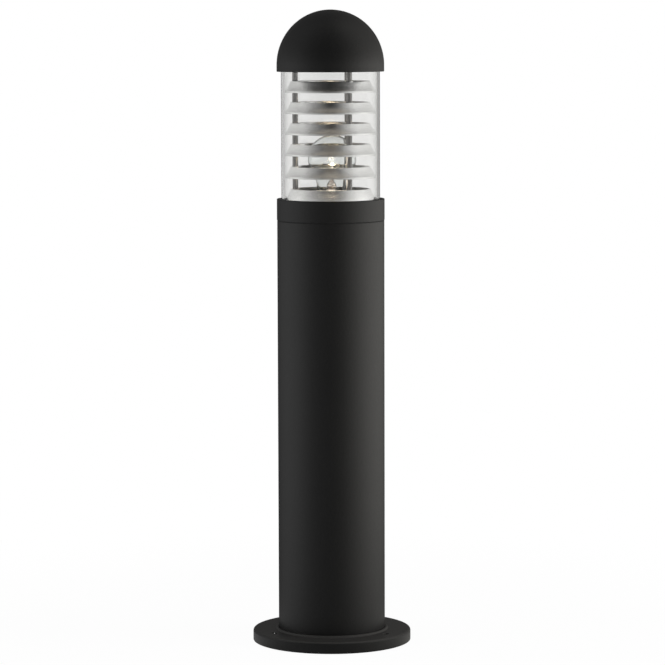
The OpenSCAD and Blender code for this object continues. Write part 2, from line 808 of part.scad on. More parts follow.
// Routes of the leads, from the terminal block to where each one ends
lead_end = block_top - 5;
function phase_route(s) = [
    [channel_x, s * pole_y, lead_end], [channel_x, s * pole_y, block_top + 3],
    [channel_x + 4, s * 9, block_top + 9], [-3, s * 6.5, block_top + 13],
    [0, s * wire_y, web_z], [0, s * wire_y, holder_z + 4]];

module live_lead() { color([0.45, 0.24, 0.12]) lead(phase_route(1)); }
module neutral_lead() { color([0.15, 0.3, 0.65]) lead(phase_route(-1)); }

module earth_lead() {
    color([0.4, 0.6, 0.2]) lead([
        [channel_x, 0, lead_end], [channel_x, 0, block_top + 3], [channel_x + 5, 0, block_top + 8],
        [0, 0, block_top + 9.5], [12, 0, block_top + 9.5], [leg_x + 1, 0, block_top + 11.5],
        [leg_x + bracket_t + 3.5, 0, web_z + 1],
        [leg_x + bracket_t + lead_r + 0.3, 0, earth_z - 6.6]]);
}

module earth_tag() {
    color(brass) translate([leg_x + bracket_t, 0, earth_z]) rotate([0, 90, 0])
        linear_extrude(tag_t) difference() {
            union() {
                circle(r = small_head_r + 0.6);
                translate([0, -1.4]) square([6.5, 2.8]);
            }
            circle(r = small_r + screw_gap);
        }
}

module earth_screw() {
    color(brass) translate([leg_x + bracket_t + tag_t, 0, earth_z]) rotate([0, 90, 0])
        pan_screw(small_r, bracket_t + tag_t + 0.4, small_head_r, small_head_h);
}

module cord_clamp() {
    t = 1.5;
    foot = clamp_screw_y + small_head_r + 1;
    color(zinc) translate([-leg_x, 0, clamp_z - clamp_w / 2]) difference() {
        linear_extrude(clamp_w) difference() {
            union() {
                intersection() {
                    circle(r = clamp_r + t);
                    translate([0, -clamp_r - t]) square(2 * (clamp_r + t));
                }
                translate([0, -foot]) square([t, 2 * foot]);
            }
            circle(r = clamp_r);
        }
        for (s = [-1, 1]) translate([-1, s * clamp_screw_y, clamp_w / 2]) rotate([0, 90, 0])
            cylinder(r = small_r + screw_gap, h = t + 2);
    }
}

module clamp_screws() {
    color(zinc) for (s = [-1, 1]) translate([-leg_x + 1.5, s * clamp_screw_y, clamp_z])
        rotate([0, 90, 0]) pan_screw(small_r, bracket_t + 3, small_head_r, small_head_h);
}

base_flange();
cable_grommet();
base_screws();
post_tube();
head_plate();
head_plate_screws();
collar_gasket();
collar();
lower_seal();
diffuser();
upper_seal();
dome_cap();
for (i = [0:louvre_count - 2]) louvre(i);
skirt_louvre(louvre_count - 1);  // louvre_6
for (i = [0:louvre_count]) sleeves(i);
tie_rods();
rod_washers();
rod_nuts();
gear_bracket();
bracket_screws();
lampholder_body();
lampholder_shell();
lampholder_contact();
lampholder_screws();
lamp_glass();
lamp_stem();
lamp_wires();
lamp_filament();
lamp_shell();
lamp_insulator();
lamp_contact();
terminal_block();
terminal_screws();
block_screw();
live_lead();
neutral_lead();
earth_lead();
earth_tag();
earth_screw();
cord_clamp();
clamp_screws();
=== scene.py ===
import bpy, bmesh, math
from mathutils import Matrix, Vector


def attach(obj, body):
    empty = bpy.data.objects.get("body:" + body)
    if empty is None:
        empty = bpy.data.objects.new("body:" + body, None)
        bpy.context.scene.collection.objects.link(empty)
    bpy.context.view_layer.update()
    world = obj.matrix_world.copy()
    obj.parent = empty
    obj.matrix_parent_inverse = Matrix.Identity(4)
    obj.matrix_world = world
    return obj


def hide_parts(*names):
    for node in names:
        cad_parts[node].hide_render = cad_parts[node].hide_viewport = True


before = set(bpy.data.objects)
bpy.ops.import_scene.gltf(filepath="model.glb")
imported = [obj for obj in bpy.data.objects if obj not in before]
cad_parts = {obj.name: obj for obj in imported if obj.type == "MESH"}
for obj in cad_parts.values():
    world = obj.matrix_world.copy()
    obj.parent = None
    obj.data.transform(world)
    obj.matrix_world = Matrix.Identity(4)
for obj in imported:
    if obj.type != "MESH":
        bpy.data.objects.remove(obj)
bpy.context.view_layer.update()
mm = 0.001
print("frame loaded:", len(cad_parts), "nodes")


# Node trees

class Plug:  # one socket of a tree, so that sums are written as sums
    def __init__(self, graph, socket):
        self.graph, self.socket = graph, socket

    def __add__(self, other): return self.graph.maths("ADD", self, other)
    def __radd__(self, other): return self.graph.maths("ADD", other, self)
    def __sub__(self, other): return self.graph.maths("SUBTRACT", self, other)
    def __rsub__(self, other): return self.graph.maths("SUBTRACT", other, self)
    def __mul__(self, other): return self.graph.maths("MULTIPLY", self, other)
    def __rmul__(self, other): return self.graph.maths("MULTIPLY", other, self)
    def __truediv__(self, other): return self.graph.maths("DIVIDE", self, other)
    def __rtruediv__(self, other): return self.graph.maths("DIVIDE", other, self)
    def __pow__(self, other): return self.graph.maths("POWER", self, other)
    def __neg__(self): return self.graph.maths("MULTIPLY", self, -1)


class Graph:  # a shader, world or geometry tree
    def __init__(self, tree):
        self.tree = tree

    # settings come first, then values or plugs go into the sockets; a ramp's stops are a setting
    def add(self, kind, settings=None, inputs=None, output=0):
        node = self.tree.nodes.new(kind)
        for name, value in (settings or {}).items():
            if name == "stops":
                ramp = node.color_ramp.elements
                while len(ramp) < len(value):
                    ramp.new(0.5)
                for stop, (position, colour) in zip(ramp, value):
                    stop.position, stop.color = position, (*colour, 1)
            else:
                setattr(node, name, value)
        for key, value in (inputs or {}).items():
            self.feed(node.inputs[key], value)
        return Plug(self, node.outputs[output]) if len(node.outputs) else node

    def maths(self, operation, *values):
        return self.add("ShaderNodeMath", {"operation": operation}, dict(enumerate(values)))

    def feed(self, socket, value):  # a colour given without its alpha is opaque
        if isinstance(value, Plug):
            self.tree.links.new(value.socket, socket)
        else:
            socket.default_value = (*value, 1) if socket.type == "RGBA" and len(value) == 3 else value

    def axes(self, vector):
        split = self.add("ShaderNodeSeparateXYZ", None, {0: vector}).socket.node
        return [Plug(self, split.outputs[k]) for k in range(3)]


def geometryTree(name, inputs):  # each input's kind and value; a mesh and a material always go in too
    tree = bpy.data.node_groups.new(name, "GeometryNodeTree")
    tree.interface.new_socket("Geometry", in_out="INPUT", socket_type="NodeSocketGeometry")
    for label, (kind, value) in inputs.items():
        socket = tree.interface.new_socket(label, in_out="INPUT", socket_type="NodeSocket" + kind)
        socket.default_value = value
    tree.interface.new_socket("Material", in_out="INPUT", socket_type="NodeSocketMaterial")
    tree.interface.new_socket("Geometry", in_out="OUTPUT", socket_type="NodeSocketGeometry")
    graph = Graph(tree)
    entry = graph.add("NodeGroupInput").socket.node
    given = {socket.name: Plug(graph, socket) for socket in entry.outputs if socket.name}
    return graph, given


def closeTree(graph, geometry, given):
    real = graph.add("GeometryNodeRealizeInstances", None, {0: geometry})
    painted = graph.add("GeometryNodeSetMaterial", None, {"Geometry": real, "Material": given["Material"]})
    graph.add("NodeGroupOutput", None, {0: painted})
    return graph


def placed(name, data):  # a new object in the scene
    thing = bpy.data.objects.new(name, data)
    bpy.context.scene.collection.objects.link(thing)
    return thing


def plainMesh(thing):  # what its modifiers make of an object
    return bpy.data.meshes.new_from_object(thing.evaluated_get(bpy.context.evaluated_depsgraph_get()))


def runTree(graph, mesh, values):  # puts a mesh through a tree and hands back the plain mesh
    thing = placed("work", mesh)
    modifier = thing.modifiers.new("tree", "NODES")
    modifier.node_group = graph.tree
    for item in graph.tree.interface.items_tree:
        if item.in_out == "INPUT" and item.name in values:
            modifier[item.identifier] = values[item.name]
    made = plainMesh(thing)
    bpy.data.objects.remove(thing)
    return made


# Mesh work

# a corner given as (r, z, radius) becomes an arc, and a point beside each of its ends keeps the
# shading of the straights flat
def rounded(outline, steps=4):
    arcShare = 0.49  # of the straight on each side, at most
    besideShare, besideMost = 0.01, 0.4  # where that point stands: by the straight's length, at most so many mm
    made = []
    for i, corner in enumerate(outline):
        here = Vector(corner[:2])
        if len(corner) < 3:
            made.append(tuple(here))
            continue
        back = Vector(outline[i - 1][:2]) - here
        ahead = Vector(outline[(i + 1) % len(outline)][:2]) - here
        toBack, toAhead = back.normalized(), ahead.normalized()
        half = back.angle(ahead) / 2
        reach = min(corner[2] / math.tan(half), back.length * arcShare, ahead.length * arcShare)
        middle = here + (toBack + toAhead).normalized() * (reach / math.cos(half))
        start, end = here + toBack * reach - middle, here + toAhead * reach - middle
        first = math.atan2(start.y, start.x)
        sweep = (math.atan2(end.y, end.x) - first + math.pi) % (2 * math.pi) - math.pi
        made.append(tuple(here + toBack * (reach + min(besideMost, back.length * besideShare))))
        for k in range(steps + 1):
            a = first + sweep * k / steps
            made.append((middle.x + start.length * math.cos(a), middle.y + start.length * math.sin(a)))
        made.append(tuple(here + toAhead * (reach + min(besideMost, ahead.length * besideShare))))
    return made


def shaded(mesh, angle=32):  # smooth, but sharp at the edges that bend by more degrees than this
    mesh.shade_smooth()
    mesh.set_sharp_from_angle(angle=math.radians(angle))
    return mesh


def meshOf(bm, name, angle=32):
    mesh = bpy.data.meshes.new(name)
    bm.to_mesh(mesh)
    bm.free()
    return shaded(mesh, angle)


def tidyMesh(bm, name, angle=32):
    bmesh.ops.remove_doubles(bm, verts=bm.verts, dist=2e-7)
    bmesh.ops.recalc_face_normals(bm, faces=bm.faces)
    return meshOf(bm, name, angle)


def spun(name, outline, around, wave=None, angle=32):  # a closed outline in mm turned about Z
    bm = bmesh.new()
    rings = []
    for r, z in outline:
        if r < 1e-6:  # a pole is one point
            rings.append([bm.verts.new((0, 0, z * mm))] * around)
            continue
        ring = []
        for k in range(around):
            a = 2 * math.pi * k / around
            w = r + (wave(r, z, a) if wave else 0)
            ring.append(bm.verts.new((w * math.cos(a) * mm, w * math.sin(a) * mm, z * mm)))
        rings.append(ring)
    for i, ring in enumerate(rings):
        ahead = rings[(i + 1) % len(rings)]
        for k in range(around):
            corners = [ring[k], ring[(k + 1) % around], ahead[(k + 1) % around], ahead[k]]
            corners = list(dict.fromkeys(corners))
            if len(corners) > 2:
                bm.faces.new(corners)
    return tidyMesh(bm, name, angle)


def bar(radius, low, high, around):  # a plain round bar about Z
    return spun("bar", [(0, low), (radius, low), (radius, high), (0, high)], around)


def block(low, high):
    bm = bmesh.new()
    bmesh.ops.create_cube(bm, size=1)
    size = [(b - a) * mm for a, b in zip(low, high)]
    middle = [(a + b) / 2 * mm for a, b in zip(low, high)]
    bmesh.ops.transform(bm, matrix=Matrix.Translation(middle) @ Matrix.Diagonal((*size, 1)), verts=bm.verts)
    return tidyMesh(bm, "block")


def moved(mesh, matrix):
    mesh.transform(matrix)
    return mesh


def trio(mesh, circle, start):  # three copies carried out to a circle, a third of a turn apart
    return [moved(mesh.copy(), Matrix.Rotation(math.radians(start + 120 * i), 4, "Z")
                  @ Matrix.Translation((circle * mm, 0, 0))) for i in range(3)]


def paired(first, second):  # one of each in turn
    return [mesh for pair in zip(first, second) for mesh in pair]


def joined(name, meshes):
    bm = bmesh.new()
    for mesh in meshes:
        bm.from_mesh(mesh)
    return meshOf(bm, name)


def combined(mesh, others, operation="DIFFERENCE"):
    thing = placed("work", mesh)
    tools = []
    for other in others:
        tool = placed("tool", other)
        modifier = thing.modifiers.new("cut", "BOOLEAN")
        modifier.operation, modifier.object, modifier.solver = operation, tool, "EXACT"
        tools.append(tool)
    made = plainMesh(thing)
    for old in [thing, *tools]:
        bpy.data.objects.remove(old)
    return shaded(made)


def show(name, mesh, material, slot, *nodes):  # an own piece that stands for CAD nodes
    thing = placed(name, mesh)
    mesh.materials.clear()
    mesh.materials.append(material)
    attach(thing, "root")
    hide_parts(*nodes)
    return thing


# Finishes

def surface(name, values):  # a material's tree and shader, and the coordinates that its patterns follow
    material = bpy.data.materials.new(name)
    material.use_nodes = True
    graph, shader = Graph(material.node_tree), material.node_tree.nodes["Principled BSDF"]
    for key, value in values.items():
        graph.feed(shader.inputs[key], value)
    return material, graph, shader, graph.add("ShaderNodeTexCoord", output="Object")


def speckle(graph, place, scale, detail=2, stretch=None):
    if stretch:
        place = graph.add("ShaderNodeMapping", None, {"Vector": place, "Scale": stretch})
    return graph.add("ShaderNodeTexNoise", None, {"Vector": place, "Scale": scale, "Detail": detail})


def blend(graph, factor, first, second):
    return graph.add("ShaderNodeMix", {"data_type": "RGBA"}, {0: factor, 6: first, 7: second}, output=2)


def spread(graph, value, start, end, low, high, kind="SMOOTHSTEP"):
    return graph.add("ShaderNodeMapRange", {"interpolation_type": kind},
                     {"Value": value, "From Min": start, "From Max": end, "To Min": low, "To Max": high})


def outwards(x, y):
    return (x * x + y * y) ** 0.5


def uneven(middle, *patterns):  # roughness that wanders about its middle, so far with each pattern
    for pattern, sway in patterns:
        middle = middle + (pattern - 0.5) * sway
    return middle


def paint(graph, shader, colour, roughness, height, depth):
    bump = graph.add("ShaderNodeBump", None, {"Height": height, "Distance": depth, "Strength": 1.0})
    for name, value in (("Base Color", colour), ("Roughness", roughness), ("Normal", bump)):
        graph.feed(shader.inputs[name], value)


def powderCoat(name, look):
    material, graph, shader, place = surface(name, {"Specular IOR Level": look["gloss"]})
    grain = speckle(graph, place, look["grainScale"], 2)
    peel = speckle(graph, place, look["peelScale"], 1)
    cloud = speckle(graph, place, look["cloudScale"], 3)
    height = grain * 0.6 + peel
    if "drawLines" in look:  # drawn out along the tube
        scale, deep = look["drawLines"]
        height = height + speckle(graph, place, scale, 1, (1, 1, 0.01)) * deep
    colour = blend(graph, cloud * 0.6 + grain * 0.4, look["dark"], look["light"])
    if "litTopHeights" in look:  # a painted highlight: the top face and its edge are lightened between these heights, as if lit from above
        litTopShare = spread(graph, graph.axes(place)[2], *look["litTopHeights"], 0.0, 1.0) * (0.7 + cloud * 0.5)
        colour = blend(graph, litTopShare, colour, look["litTopColour"])
    paint(graph, shader, colour, uneven(look["roughness"], (grain, 0.16), (cloud, 0.08)), height, look["depth"])
    return material


def turnedMetal(name, look):  # fine rings left by spinning or turning
    material, graph, shader, place = surface(name, {"Metallic": 1.0})
    x, y, z = graph.axes(place)
    along = graph.add("ShaderNodeCombineXYZ", None, {0: outwards(x, y), 1: z, 2: x * 0.02})
    rings = speckle(graph, along, look["ringScale"])
    cloud = speckle(graph, place, 45, 3)
    colour = blend(graph, cloud * 0.7 + rings * 0.3, look["dark"], look["light"])
    paint(graph, shader, colour, uneven(look["roughness"], (rings, 0.14), (cloud, 0.06)), rings, look["depth"])
    return material


def plainMetal(name, look):  # plated or drawn metal with a fine mottle
    material, graph, shader, place = surface(name, {"Metallic": 1.0})
    mottle = speckle(graph, place, look["mottle"], 3)
    fine = speckle(graph, place, look["mottle"] * 9, 2)
    colour = blend(graph, mottle, look["dark"], look["light"])
    paint(graph, shader, colour, uneven(look["roughness"], (mottle, 0.2), (fine, 0.1)), fine, look["depth"])
    return material


def softSurface(name, look):  # rubber, porcelain and moulded plastic
    material, graph, shader, place = surface(name, {"Specular IOR Level": look.get("gloss", 0.5)})
    cloud = speckle(graph, place, look["mottle"], 3)
    fine = speckle(graph, place, look["mottle"] * 14, 2)
    colour = blend(graph, cloud, look["dark"], look["light"])
    paint(graph, shader, colour, uneven(look["roughness"], (fine, 0.12), (cloud, 0.06)),
          fine * 0.7 + cloud * 0.3, look["depth"])
    return material


# clear plastic or glass with a faint ripple and smears and, in a stem, the sealed leads as colour
def clearSurface(name, look):
    material, graph, shader, place = surface(name, {"Transmission Weight": 1.0, "IOR": look["ior"]})
    ripple = speckle(graph, place, look["ripple"], 1, (1, 1, 0.35))
    smear = speckle(graph, place, 30, 3)
    colour = look["tint"]
    if "leads" in look:
        leads = look["leads"]
        x, y, z = graph.axes(place)
        bend = graph.maths("SINE", z * leads["waves"]) * leads["sway"]
        off = graph.maths("ABSOLUTE", x - leads["aside"] - bend)
        line = spread(graph, off, *leads["edge"], 1.0, 0.0)
        line = line * spread(graph, z, leads["low"], leads["low"] + mm, 0.0, 1.0)
        line = line * spread(graph, z, leads["high"] - mm, leads["high"], 1.0, 0.0)
        colour = blend(graph, line, look["tint"], leads["colour"])
    paint(graph, shader, colour, look["roughness"] + (smear ** 3) * 0.05, ripple, look["depth"])
    return material


def glowing(name, look):  # a lamp filament that glows hot round one place, a painted highlight standing for a sparkle at the coil's front, and is dark away from it
    material, graph, shader, place = surface(name, {"Roughness": 0.5, "Emission Strength": look["strength"]})
    heat = speckle(graph, place, look["mottle"], 1)
    graph.feed(shader.inputs["Base Color"], blend(graph, heat, look["dark"], look["light"]))
    x, y, z = graph.axes(place)
    # the painted highlight: emission only near this spot at the coil's front
    off = outwards(x - look["glintAt"][0], y - look["glintAt"][1])
    near = spread(graph, off, *look["glintReach"], 1.0, 0.0)
    glow = blend(graph, heat, look["cool"], look["hot"])
    graph.feed(shader.inputs["Emission Color"], blend(graph, near, look["cold"], glow))
    return material


def leadPlastic(name, colour, stripe=None):
    material, graph, shader, place = surface(name, {})
    fine = speckle(graph, place, 700, 2)
    base = blend(graph, fine * 0.5, colour, tuple(c * 0.8 for c in colour))
    if stripe:  # along the side that faces Y
        base = blend(graph, graph.maths("GREATER_THAN", graph.axes(place)[1], 0.0001), base, stripe)
    paint(graph, shader, base, uneven(0.42, (fine, 0.1)), fine, 0.00001)
    return material


coatBlack = {"dark": (0.0045, 0.0045, 0.0045), "light": (0.0075, 0.0075, 0.0074), "roughness": 0.4, "gloss": 0.5,
             "grainScale": 1500, "peelScale": 420, "cloudScale": 9, "depth": 0.00004}
castBlack = {**coatBlack, "roughness": 0.45, "depth": 0.00006}
finish = {
    "cast": powderCoat("powderCoatCast", castBlack),
    # the base's top face and edge carry a painted highlight
    "base": powderCoat("powderCoatBase", {
        **castBlack, "litTopHeights": (0.0104, 0.0128), "litTopColour": (0.027, 0.0262, 0.025)}),
    "tube": powderCoat("powderCoatTube", {**coatBlack, "drawLines": (420, 0.5)}),
    "louvre": turnedMetal("satinAluminium", {
        "dark": (0.78, 0.78, 0.77), "light": (0.9, 0.9, 0.89), "roughness": 0.2,
        "ringScale": 2600, "depth": 0.000004}),
    "sleeve": turnedMetal("greySleeve", {
        "dark": (0.175, 0.169, 0.162), "light": (0.3, 0.29, 0.28), "roughness": 0.2,
        "ringScale": 1800, "depth": 0.000006}),
    "zinc": plainMetal("zincSteel", {
        "dark": (0.5, 0.51, 0.53), "light": (0.68, 0.69, 0.7), "roughness": 0.33,
        "mottle": 120, "depth": 0.000008}),
    "brass": plainMetal("brass", {
        "dark": (0.62, 0.45, 0.17), "light": (0.78, 0.6, 0.27), "roughness": 0.28,
        "mottle": 150, "depth": 0.000006}),
    "capAluminium": turnedMetal("capAluminium", {
        "dark": (0.74, 0.74, 0.73), "light": (0.86, 0.86, 0.85), "roughness": 0.24,
        "ringScale": 1500, "depth": 0.000008}),
    "stem": clearSurface("stemGlass", {
        "ior": 1.5, "tint": (0.95, 0.88, 0.82), "roughness": 0.05, "ripple": 160, "depth": 0.0001,
        "leads": {"low": 0.5105, "high": 0.5215, "aside": 0.0011, "waves": 2300, "sway": 0.0009,
                  "edge": (0.0003, 0.0006), "colour": (0.2, 0.1, 0.06)}}),
    "wire": plainMetal("lampWire", {
        "dark": (0.34, 0.31, 0.27), "light": (0.5, 0.46, 0.4), "roughness": 0.3,
        "mottle": 300, "depth": 0.000004}),
    "solder": plainMetal("solder", {
        "dark": (0.5, 0.5, 0.49), "light": (0.66, 0.66, 0.64), "roughness": 0.4,
        "mottle": 260, "depth": 0.00002}),
    "rubber": softSurface("blackRubber", {
        "dark": (0.008, 0.008, 0.008), "light": (0.017, 0.017, 0.017), "roughness": 0.62, "gloss": 0.35,
        "mottle": 60, "depth": 0.00002}),
    "porcelain": softSurface("porcelain", {
        "dark": (0.78, 0.76, 0.7), "light": (0.86, 0.845, 0.79), "roughness": 0.2,
        "mottle": 35, "depth": 0.00001}),
    "insulator": softSurface("blackInsulator", {
        "dark": (0.012, 0.01, 0.014), "light": (0.03, 0.026, 0.034), "roughness": 0.15,
        "mottle": 90, "depth": 0.00001}),
    "plastic": softSurface("whitePlastic", {
        "dark": (0.76, 0.755, 0.73), "light": (0.84, 0.835, 0.81), "roughness": 0.38,
        "mottle": 50, "depth": 0.00001}),
    "diffuser": clearSurface("clearDiffuser", {
        "ior": 1.49, "tint": (0.89, 0.89, 0.884), "roughness": 0.0, "ripple": 24, "depth": 0.00002}),
    "bulb": clearSurface("bulbGlass", {
        "ior": 1.5, "tint": (0.97, 0.985, 0.98), "roughness": 0.0, "ripple": 40, "depth": 0.00005}),
    # the filament's glow is kept to one front spot, a painted highlight
    "filament": glowing("filament", {
        "strength": 45.0, "cool": (1.0, 0.66, 0.36), "hot": (1.0, 0.84, 0.6), "cold": (0.0004, 0.0002, 0.0001),
        "dark": (0.05, 0.045, 0.04), "light": (0.12, 0.11, 0.1), "mottle": 260,
        "glintAt": (0.0017, -0.011), "glintReach": (0.001, 0.0045)}),
    "live": leadPlastic("leadBrown", (0.16, 0.06, 0.025)),
    "neutral": leadPlastic("leadBlue", (0.03, 0.1, 0.36)),
    "earth": leadPlastic("leadGreen", (0.08, 0.3, 0.06), (0.66, 0.56, 0.05)),
}
print("finishes made:", len(finish))


# Camera, floor and light

view = {"distance": 3.5209, "height": 0.6983, "tilt": 5.667, "roll": -0.16, "turn": -0.0255,
        "lens": 170.48, "sensor": 36, "clip": (0.1, 50)}
camera = placed("camera", bpy.data.cameras.new("camera"))
bpy.context.scene.camera = camera
camera.data.lens, camera.data.sensor_width = view["lens"], view["sensor"]
camera.data.clip_start, camera.data.clip_end = view["clip"]
camera.matrix_world = (
    Matrix.Translation((0, -view["distance"], view["height"]))
    @ Matrix.Rotation(math.radians(view["turn"]), 4, "Z")
    @ Matrix.Rotation(math.radians(90 - view["tilt"]), 4, "X")
    @ Matrix.Rotation(math.radians(view["roll"]), 4, "Z"))
bpy.context.scene.view_settings.view_transform = "Standard"

# the pattern that gloss sees runs round the post: degrees from the camera's side, and the strength there
studio = {
    "ambient": 0.42,  # what the world gives to matt surfaces
    "coatRight": ((0, 0.04), (23, 0.17), (40, 0.44), (54, 0.74), (70, 1.08), (88, 1.3), (105, 1.1),
                  (125, 0.72), (141, 0.36), (160, 0.1), (180, 0.02)),
    "coatLeft": ((0, 0.04), (23, 0.12), (42, 0.23), (56, 0.38), (72, 0.58), (88, 0.62), (106, 0.52),
                 (127, 0.24), (150, 0.06), (180, 0.01)),
    "metalRight": ((0, 0.01), (14, 0.06), (32, 0.24), (61, 0.68), (86, 0.93), (99, 0.95), (120, 0.75),
                   (145, 0.5), (180, 0.3)),
    "metalLeft": ((0, 0.01), (14, 0.05), (32, 0.19), (61, 0.4), (86, 0.66), (99, 0.78), (120, 0.62),
                  (145, 0.45), (180, 0.25)),
    "wallRight": ((0, 0.03), (90, 0.3), (130, 0.2), (165, 0.5), (180, 0.6)),
    "wallLeft": ((0, 0.03), (90, 0.3), (130, 0.4), (165, 0.95), (180, 0.95)),
    "even": ((0, 0.15), (60, 0.14), (120, 0.04), (180, 0.0)),  # what the coat sees of the floor, besides
    "back": 0.7,  # and of the world: as much as that pattern has fallen by, times this
    "coatHigh": (0.0, 0.4, 0.74, 0.42),  # two heights of a ray, and the share of the pattern at each
    "metalHigh": (0.7, 0.95, 1.15, 0.5),  # the same for metal
    "metalLow": (0.15, 0.7, 0.36, 0.0),  # two heights, and what metal sees all round at each
    "metalOver": (0.8, 0.95, 0.0, 0.36),  # the same, overhead
    "warm": (1.0, 0.98, 0.93),  # the light on the coat's right side
    "overWarm": (1.0, 0.91, 0.78),  # the light overhead
    "floorSize": 60,  # from the middle to each edge
    "floorNear": (0.3, 0.8), "floorGlow": (0.96, 1.0),  # two distances, and the floor's white at each
    "floorReach": (-0.5, 0.9),  # near the post and far off, as powers of ten
    "floorRight": (0.4, 1.75), "floorLeft": (0.65, 1.5),  # what the coat sees of the floor at those
    "floorMetal": (1.35, 0.05),  # what metal sees there: the pattern times this, and this more
    "passes": 2.5,  # a mirrored ray that went through more faces of glass than this comes from metal
    "boxes": {
        "rightBox": {"place": (1.9, -0.5, 1.1), "size": (0.9, 1.9), "power": 26},
        "leftBox": {"place": (-1.9, -0.6, 1.1), "size": (0.9, 1.9), "power": 12},
        "topBox": {"place": (0.3, -0.9, 2.4), "size": (1.4, 1.0), "power": 9},
    },
    "boxAim": (0, 0, 0.4),
}


# how a ray came: straight or through glass, off the outer coat, off the diffuser's wall, or off
# metal behind that
def rayKinds(graph):
    path = graph.add("ShaderNodeLightPath").socket.node
    seen, through, bounces, passed = [Plug(graph, path.outputs[name]) for name in (
        "Is Camera Ray", "Is Transmission Ray", "Glossy Depth", "Transmission Depth")]
    mirrored = graph.maths("MINIMUM", bounces, 1.0)
    behind = mirrored * graph.maths("MINIMUM", passed, 1.0)
    metal = mirrored * graph.maths("GREATER_THAN", passed, studio["passes"])
    return (seen + through) * (1 - mirrored), mirrored - behind, behind - metal, metal


# the patterns of coat, wall and metal towards (x, y), the even share there, and whether that is on
# the right
def aroundPost(graph, x, y, shares=(1, 1)):
    peak = 1.5  # a ramp's colours end at 1, so its strengths are shares of this
    width = graph.maths("ABSOLUTE", x)
    turn = graph.maths("ARCTAN2", width, -y) / math.pi
    isRight = graph.maths("GREATER_THAN", x, 0.0)

    def pattern(name):
        stops = [(angle / 180, [strength / peak] * 3) for angle, strength in studio[name]]
        return graph.add("ShaderNodeValToRGB", {"stops": stops}, {0: turn}) * peak

    coat = isRight * pattern("coatRight") * shares[0] + (1 - isRight) * pattern("coatLeft") * shares[1]
    wall, metal = [isRight * pattern(name + "Right") + (1 - isRight) * pattern(name + "Left")
                   for name in ("wall", "metal")]
    return coat, wall, metal, pattern("even"), isRight


def studioWorld():
    world = bpy.data.worlds.new("studio")
    world.use_nodes = True
    bpy.context.scene.world = world
    graph = Graph(world.node_tree)
    direct, coat, wall, metal = rayKinds(graph)
    x, y, z = graph.axes(graph.add("ShaderNodeTexCoord", output="Generated"))
    onCoat, onWall, onMetal, even, isRight = aroundPost(graph, x, y)
    onCoat = onCoat * spread(graph, z, *studio["coatHigh"]) + (studio["even"][0][1] - even) * studio["back"]
    over = spread(graph, z, *studio["metalOver"])
    onMetal = onMetal * spread(graph, z, *studio["metalHigh"]) + spread(graph, z, *studio["metalLow"]) + over
    matt = 1 - direct - coat - wall - metal
    level = direct + coat * onCoat + wall * onWall + metal * onMetal + matt * studio["ambient"]
    tint = blend(graph, coat * isRight, (1, 1, 1), studio["warm"])
    tint = blend(graph, metal * over / studio["metalOver"][3], tint, studio["overWarm"])
    background = world.node_tree.nodes["Background"]
    graph.feed(background.inputs["Color"], tint)
    graph.feed(background.inputs["Strength"], level)


def studioFloor():
    size = studio["floorSize"]
    mesh = bpy.data.meshes.new("floor")
    mesh.from_pydata([(-size, -size, 0), (size, -size, 0), (size, size, 0), (-size, size, 0)], [], [(0, 1, 2, 3)])
    floor = placed("floor", mesh)
    material = bpy.data.materials.new("paleFloor")
    material.use_nodes = True
    material.node_tree.nodes.clear()
    graph = Graph(material.node_tree)
    direct, coat, wall, metal = rayKinds(graph)
    x, y, z = graph.axes(graph.add("ShaderNodeTexCoord", output="Object"))
    radius = outwards(x, y)
    glow = spread(graph, radius, *studio["floorNear"], *studio["floorGlow"])
    reach = graph.maths("LOGARITHM", radius, 10.0)
    shares = [spread(graph, reach, *studio["floorReach"], *studio[name], "LINEAR")
              for name in ("floorRight", "floorLeft")]
    onCoat, onWall, onMetal, even, isRight = aroundPost(graph, x, y, shares)
    gain, more = studio["floorMetal"]
    lit = graph.add("ShaderNodeBsdfDiffuse", None, {"Color": (0.9, 0.9, 0.9)})
    white = graph.add("ShaderNodeEmission", None, {"Color": (1, 1, 1), "Strength": 1.0})
    tinted = graph.add("ShaderNodeEmission", None, {
        "Color": blend(graph, coat * isRight, (1, 1, 1), studio["warm"]),
        "Strength": coat * (onCoat + even) + wall * onWall + metal * (onMetal * gain + more)})
    seen = graph.add("ShaderNodeMixShader", None, {0: direct * glow, 1: lit, 2: white})
    mixed = graph.add("ShaderNodeMixShader", None, {0: coat + wall + metal, 1: seen, 2: tinted})
    graph.add("ShaderNodeOutputMaterial", None, {"Surface": mixed})
    mesh.materials.append(material)


def softBoxes():
    for name, box in studio["boxes"].items():
        lamp = bpy.data.lights.new(name, "AREA")
        lamp.shape, lamp.size, lamp.size_y, lamp.energy = "RECTANGLE", *box["size"], box["power"]
        holder = placed(name, lamp)
        holder.visible_glossy = holder.visible_transmission = False  # what gloss sees is the world's own pattern
        place = Vector(box["place"])
        facing = (Vector(studio["boxAim"]) - place).to_track_quat("-Z", "Y")
        holder.matrix_world = Matrix.Translation(place) @ facing.to_matrix().to_4x4()


